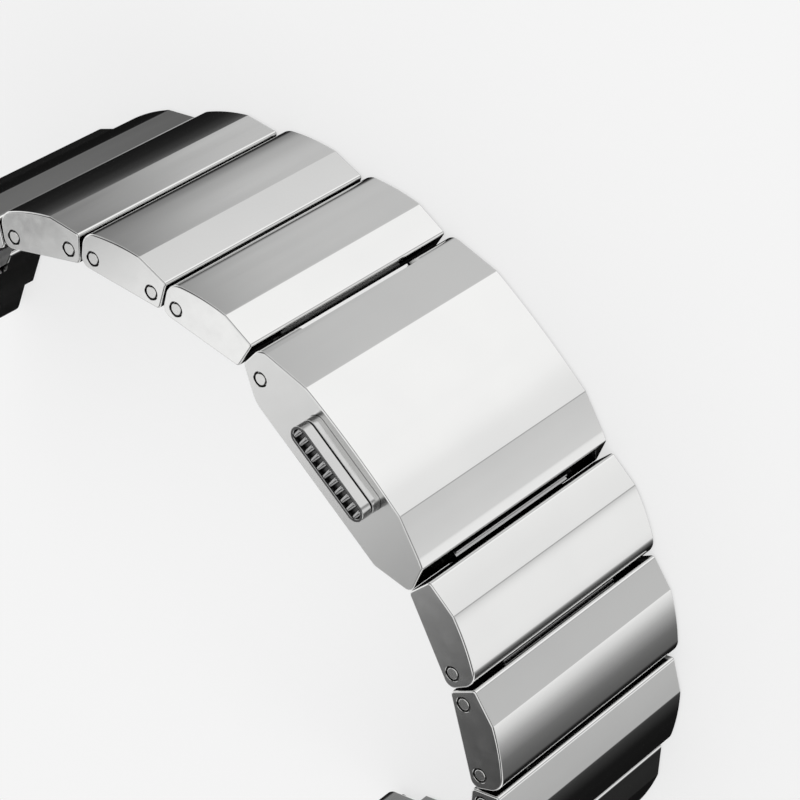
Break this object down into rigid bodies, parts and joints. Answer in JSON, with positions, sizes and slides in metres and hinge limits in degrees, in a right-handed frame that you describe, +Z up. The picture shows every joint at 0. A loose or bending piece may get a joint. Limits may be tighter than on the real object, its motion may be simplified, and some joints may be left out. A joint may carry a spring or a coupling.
{
  "type": "watch bracelet",
  "caption": "Steel link bracelet for a watch, with a side-button clasp, pinned connectors and quick-release spring bars.",
  "frame": {"origin": "Middle of the band's box in plan, on the surface that the band lies on.", "axes": "X runs along the clasp from the catch side at -X to the hinge side at +X, Y runs from the clasp's outer face at -Y to the lug ends at +Y, and Z is up, along every hinge axis, with the button on top."},
  "size_m": [0.0772, 0.0544, 0.0262],
  "materials": {
    "link_steel": "Polished stainless steel with faint grain",
    "plate_steel": "Satin stainless steel",
    "pin_steel": "Polished stainless steel pins and screws",
    "connector_steel": "Satin stainless steel",
    "button_steel": "Polished steel, darker between its ribs",
    "spring_steel": "Blued grey spring steel",
    "bar_steel": "Satin stainless steel"
  },
  "bodies": {
    "clasp": {"clasp_case": "link_steel", "clasp_base": "plate_steel", "base_screws": "pin_steel", "clasp_pin": "pin_steel", "catch_spring": "spring_steel", "catch_screw": "pin_steel"},
    "button": {"push_button": "button_steel", "button_cap": "button_steel", "button_clip": "button_steel"},
    "hinge_side_link_1": {"hinge_side_link_1": "link_steel", "hinge_side_pins_1": "pin_steel"},
    "hinge_side_connector_1": {"hinge_side_connector_1": "connector_steel"},
    "hinge_side_link_2": {"hinge_side_link_2": "link_steel", "hinge_side_pins_2": "pin_steel"},
    "hinge_side_connector_2": {"hinge_side_connector_2": "connector_steel"},
    "hinge_side_link_3": {"hinge_side_link_3": "link_steel", "hinge_side_pins_3": "pin_steel"},
    "hinge_side_connector_3": {"hinge_side_connector_3": "connector_steel"},
    "hinge_side_link_4": {"hinge_side_link_4": "link_steel", "hinge_side_pins_4": "pin_steel"},
    "hinge_side_connector_4": {"hinge_side_connector_4": "connector_steel"},
    "hinge_side_link_5": {"hinge_side_link_5": "link_steel", "hinge_side_pins_5": "pin_steel"},
    "hinge_side_connector_5": {"hinge_side_connector_5": "connector_steel"},
    "hinge_side_link_6": {"hinge_side_link_6": "link_steel", "hinge_side_pins_6": "pin_steel"},
    "hinge_side_connector_6": {"hinge_side_connector_6": "connector_steel"},
    "hinge_side_end": {"hinge_side_end_link": "link_steel", "hinge_side_pins_7": "pin_steel", "hinge_side_spring_bar": "bar_steel", "hinge_side_spring_bar_coil": "spring_steel"},
    "hinge_side_tip": {"hinge_side_spring_bar_plunger": "bar_steel"},
    "catch_side_link_1": {"catch_side_link_1": "link_steel", "catch_side_pins_1": "pin_steel"},
    "catch_side_connector_1": {"catch_side_connector_1": "connector_steel"},
    "catch_side_link_2": {"catch_side_link_2": "link_steel", "catch_side_pins_2": "pin_steel"},
    "catch_side_connector_2": {"catch_side_connector_2": "connector_steel"},
    "catch_side_link_3": {"catch_side_link_3": "link_steel", "catch_side_pins_3": "pin_steel"},
    "catch_side_connector_3": {"catch_side_connector_3": "connector_steel"},
    "catch_side_link_4": {"catch_side_link_4": "link_steel", "catch_side_pins_4": "pin_steel"},
    "catch_side_connector_4": {"catch_side_connector_4": "connector_steel"},
    "catch_side_link_5": {"catch_side_link_5": "link_steel", "catch_side_pins_5": "pin_steel"},
    "catch_side_connector_5": {"catch_side_connector_5": "connector_steel"},
    "catch_side_link_6": {"catch_side_link_6": "link_steel", "catch_side_pins_6": "pin_steel"},
    "catch_side_connector_6": {"catch_side_connector_6": "connector_steel"},
    "catch_side_end": {"catch_side_end_link": "link_steel", "catch_side_pins_7": "pin_steel", "catch_side_spring_bar": "bar_steel", "catch_side_spring_bar_coil": "spring_steel"},
    "catch_side_tip": {"catch_side_spring_bar_plunger": "bar_steel"}
  },
  "joints": [
    {"name": "button_press", "type": "slide", "parent": "clasp", "child": "button", "axis": [0, 0, -1], "range_m": [0, 0.0009], "stiffness_N_per_m": 900, "deforming": ["catch_spring"]},
    {"name": "clasp_hinge", "type": "hinge", "parent": "clasp", "child": "hinge_side_link_1", "pos_m": [0.00743, -0.0233, 0.012], "axis": [0, 0, 1], "range_deg": [-14, 14]},
    {"name": "catch_slide", "type": "slide", "parent": "clasp", "child": "catch_side_link_1", "axis": [-1, 0, 0], "range_m": [0, 0.0065]},
    {"name": "hinge_side_inner_pivot_1", "type": "hinge", "parent": "hinge_side_link_1", "child": "hinge_side_connector_1", "pos_m": [0.01595, -0.02007, 0.012], "axis": [0, 0, 1], "range_deg": [-1.4, 14.6]},
    {"name": "hinge_side_outer_pivot_1", "type": "hinge", "parent": "hinge_side_connector_1", "child": "hinge_side_link_2", "pos_m": [0.01829, -0.01885, 0.012], "axis": [0, 0, 1], "range_deg": [-5.2, 10.8]},
    {"name": "hinge_side_inner_pivot_2", "type": "hinge", "parent": "hinge_side_link_2", "child": "hinge_side_connector_2", "pos_m": [0.02354, -0.01547, 0.012], "axis": [0, 0, 1], "range_deg": [-8.5, 7.5]},
    {"name": "hinge_side_outer_pivot_2", "type": "hinge", "parent": "hinge_side_connector_2", "child": "hinge_side_link_3", "pos_m": [0.02552, -0.01373, 0.012], "axis": [0, 0, 1], "range_deg": [-8.6, 7.4]},
    {"name": "hinge_side_inner_pivot_3", "type": "hinge", "parent": "hinge_side_link_3", "child": "hinge_side_connector_3", "pos_m": [0.02954, -0.00895, 0.012], "axis": [0, 0, 1], "range_deg": [-6.9, 9.1]},
    {"name": "hinge_side_outer_pivot_3", "type": "hinge", "parent": "hinge_side_connector_3", "child": "hinge_side_link_4", "pos_m": [0.03098, -0.00674, 0.012], "axis": [0, 0, 1], "range_deg": [-6.9, 9.1]},
    {"name": "hinge_side_inner_pivot_4", "type": "hinge", "parent": "hinge_side_link_4", "child": "hinge_side_connector_4", "pos_m": [0.03375, -0.00115, 0.012], "axis": [0, 0, 1], "range_deg": [-6.9, 9.1]},
    {"name": "hinge_side_outer_pivot_4", "type": "hinge", "parent": "hinge_side_connector_4", "child": "hinge_side_link_5", "pos_m": [0.03463, 0.00134, 0.012], "axis": [0, 0, 1], "range_deg": [-6.8, 9.2]},
    {"name": "hinge_side_inner_pivot_5", "type": "hinge", "parent": "hinge_side_link_5", "child": "hinge_side_connector_5", "pos_m": [0.03599, 0.00743, 0.012], "axis": [0, 0, 1], "range_deg": [-8, 8]},
    {"name": "hinge_side_outer_pivot_5", "type": "hinge", "parent": "hinge_side_connector_5", "child": "hinge_side_link_6", "pos_m": [0.0362, 0.01006, 0.012], "axis": [0, 0, 1], "range_deg": [-8, 8]},
    {"name": "hinge_side_inner_pivot_6", "type": "hinge", "parent": "hinge_side_link_6", "child": "hinge_side_connector_6", "pos_m": [0.03583, 0.01629, 0.012], "axis": [0, 0, 1], "range_deg": [-8, 8]},
    {"name": "hinge_side_outer_pivot_6", "type": "hinge", "parent": "hinge_side_connector_6", "child": "hinge_side_end", "pos_m": [0.03531, 0.01888, 0.012], "axis": [0, 0, 1], "range_deg": [-8, 8]},
    {"name": "hinge_side_tip_slide", "type": "slide", "parent": "hinge_side_end", "child": "hinge_side_tip", "axis": [0, 0, -1], "range_m": [0, 0.001], "stiffness_N_per_m": 700, "deforming": ["hinge_side_spring_bar_coil"]},
    {"name": "catch_side_inner_pivot_1", "type": "hinge", "parent": "catch_side_link_1", "child": "catch_side_connector_1", "pos_m": [-0.01934, -0.02122, 0.012], "axis": [0, 0, 1], "range_deg": [-13, 3]},
    {"name": "catch_side_outer_pivot_1", "type": "hinge", "parent": "catch_side_connector_1", "child": "catch_side_link_2", "pos_m": [-0.02175, -0.02014, 0.012], "axis": [0, 0, 1], "range_deg": [-6.5, 9.5]},
    {"name": "catch_side_inner_pivot_2", "type": "hinge", "parent": "catch_side_link_2", "child": "catch_side_connector_2", "pos_m": [-0.02695, -0.0167, 0.012], "axis": [0, 0, 1], "range_deg": [-6.3, 9.7]},
    {"name": "catch_side_outer_pivot_2", "type": "hinge", "parent": "catch_side_connector_2", "child": "catch_side_link_3", "pos_m": [-0.02888, -0.01489, 0.012], "axis": [0, 0, 1], "range_deg": [-6.2, 9.8]},
    {"name": "catch_side_inner_pivot_3", "type": "hinge", "parent": "catch_side_link_3", "child": "catch_side_connector_3", "pos_m": [-0.03263, -0.00991, 0.012], "axis": [0, 0, 1], "range_deg": [-6.5, 9.5]},
    {"name": "catch_side_outer_pivot_3", "type": "hinge", "parent": "catch_side_connector_3", "child": "catch_side_link_4", "pos_m": [-0.03385, -0.00757, 0.012], "axis": [0, 0, 1], "range_deg": [-6.5, 9.5]},
    {"name": "catch_side_inner_pivot_4", "type": "hinge", "parent": "catch_side_link_4", "child": "catch_side_connector_4", "pos_m": [-0.03578, -0.00163, 0.012], "axis": [0, 0, 1], "range_deg": [-6, 10]},
    {"name": "catch_side_outer_pivot_4", "type": "hinge", "parent": "catch_side_connector_4", "child": "catch_side_link_5", "pos_m": [-0.03615, 0.00098, 0.012], "axis": [0, 0, 1], "range_deg": [-6, 10]},
    {"name": "catch_side_inner_pivot_5", "type": "hinge", "parent": "catch_side_link_5", "child": "catch_side_connector_5", "pos_m": [-0.03593, 0.00722, 0.012], "axis": [0, 0, 1], "range_deg": [-5.5, 10.5]},
    {"name": "catch_side_outer_pivot_5", "type": "hinge", "parent": "catch_side_connector_5", "child": "catch_side_link_6", "pos_m": [-0.03536, 0.0098, 0.012], "axis": [0, 0, 1], "range_deg": [-5.5, 10.5]},
    {"name": "catch_side_inner_pivot_6", "type": "hinge", "parent": "catch_side_link_6", "child": "catch_side_connector_6", "pos_m": [-0.03292, 0.01554, 0.012], "axis": [0, 0, 1], "range_deg": [-6, 10]},
    {"name": "catch_side_outer_pivot_6", "type": "hinge", "parent": "catch_side_connector_6", "child": "catch_side_end", "pos_m": [-0.03148, 0.01775, 0.012], "axis": [0, 0, 1], "range_deg": [-6, 10]},
    {"name": "catch_side_tip_slide", "type": "slide", "parent": "catch_side_end", "child": "catch_side_tip", "axis": [0, 0, -1], "range_m": [0, 0.001], "stiffness_N_per_m": 700, "deforming": ["catch_side_spring_bar_coil"]}
  ]
}
